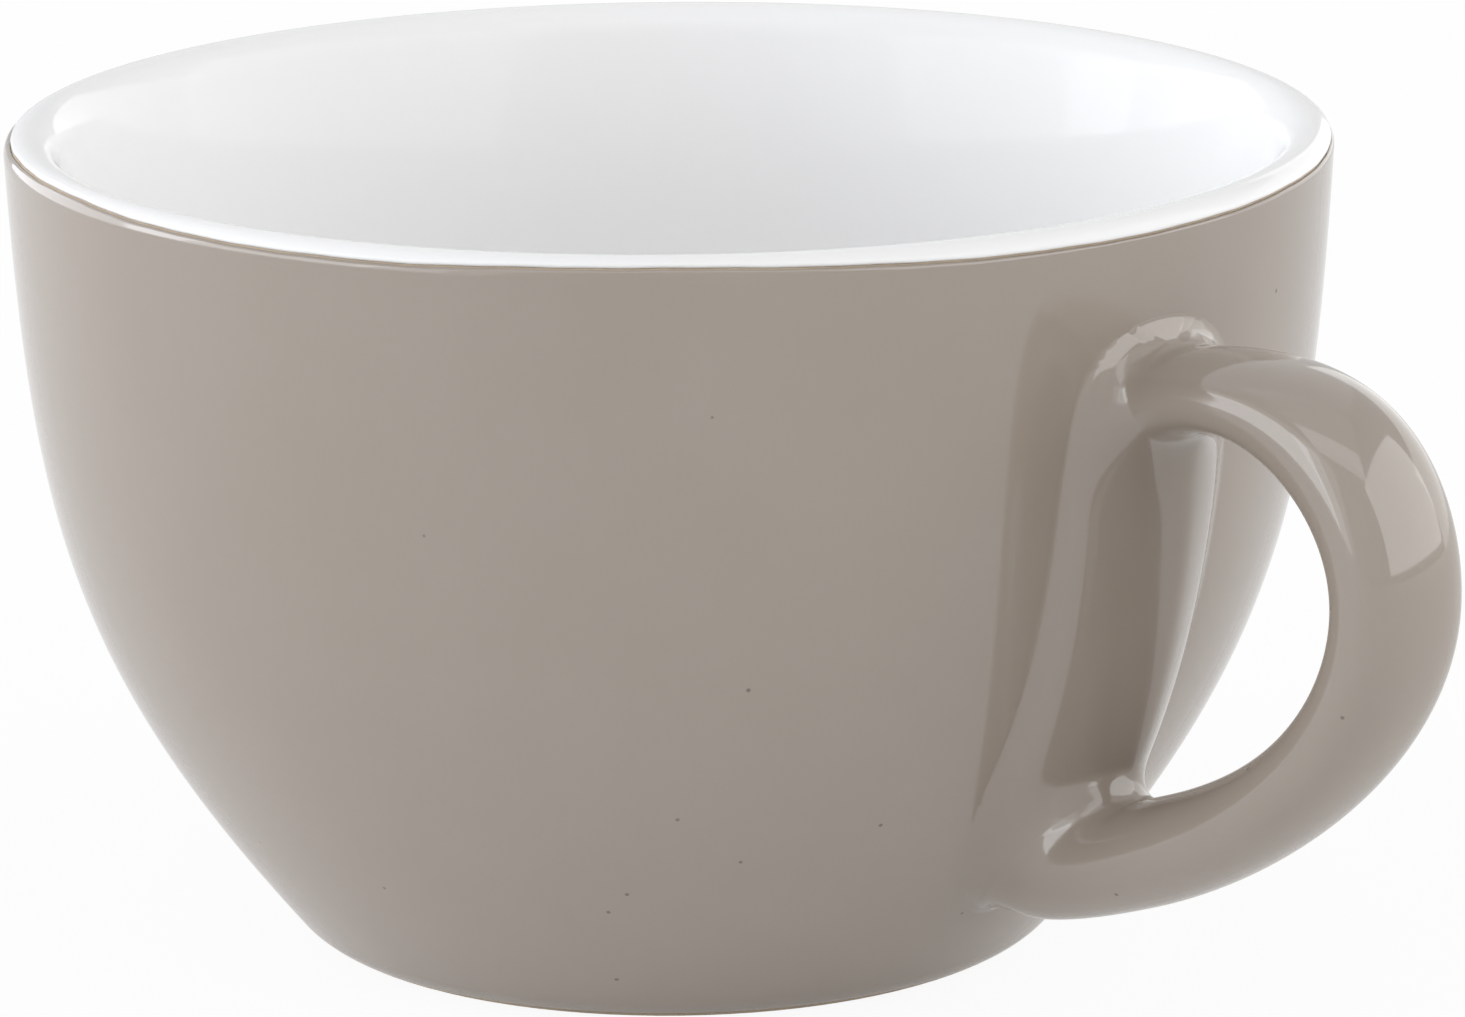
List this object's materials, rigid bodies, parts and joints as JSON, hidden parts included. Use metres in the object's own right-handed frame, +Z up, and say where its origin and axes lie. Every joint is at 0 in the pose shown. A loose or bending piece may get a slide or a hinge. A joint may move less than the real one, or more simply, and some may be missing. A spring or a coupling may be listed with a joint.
{
  "type": "cappuccino cup",
  "caption": "Wide round cappuccino cup with a closed D-shaped loop handle, white glazed inside and warm grey glazed outside.",
  "frame": {"origin": "centre of the foot ring, in the plane it stands on", "axes": "+Z up out of the mouth of the cup, +X out along the handle, so the handle lies in the XZ plane"},
  "size_m": [0.1252, 0.1, 0.0626],
  "materials": {
    "fired_clay": "bare fired clay, matte, on the foot ring and in the line between the glazes",
    "white_glaze": "glossy white glaze",
    "grey_glaze": "glossy warm grey glaze",
    "base_glaze": "glossy warm grey glaze under the floor",
    "handle_glaze": "glossy warm grey glaze",
    "slip": "fired slip, hidden under the handle"
  },
  "bodies": {
    "root": {"bowl": "fired_clay", "inner_glaze": "white_glaze", "outer_glaze": "grey_glaze", "base_glaze": "base_glaze", "handle": "handle_glaze", "handle_slip": "slip"}
  },
  "joints": []
}
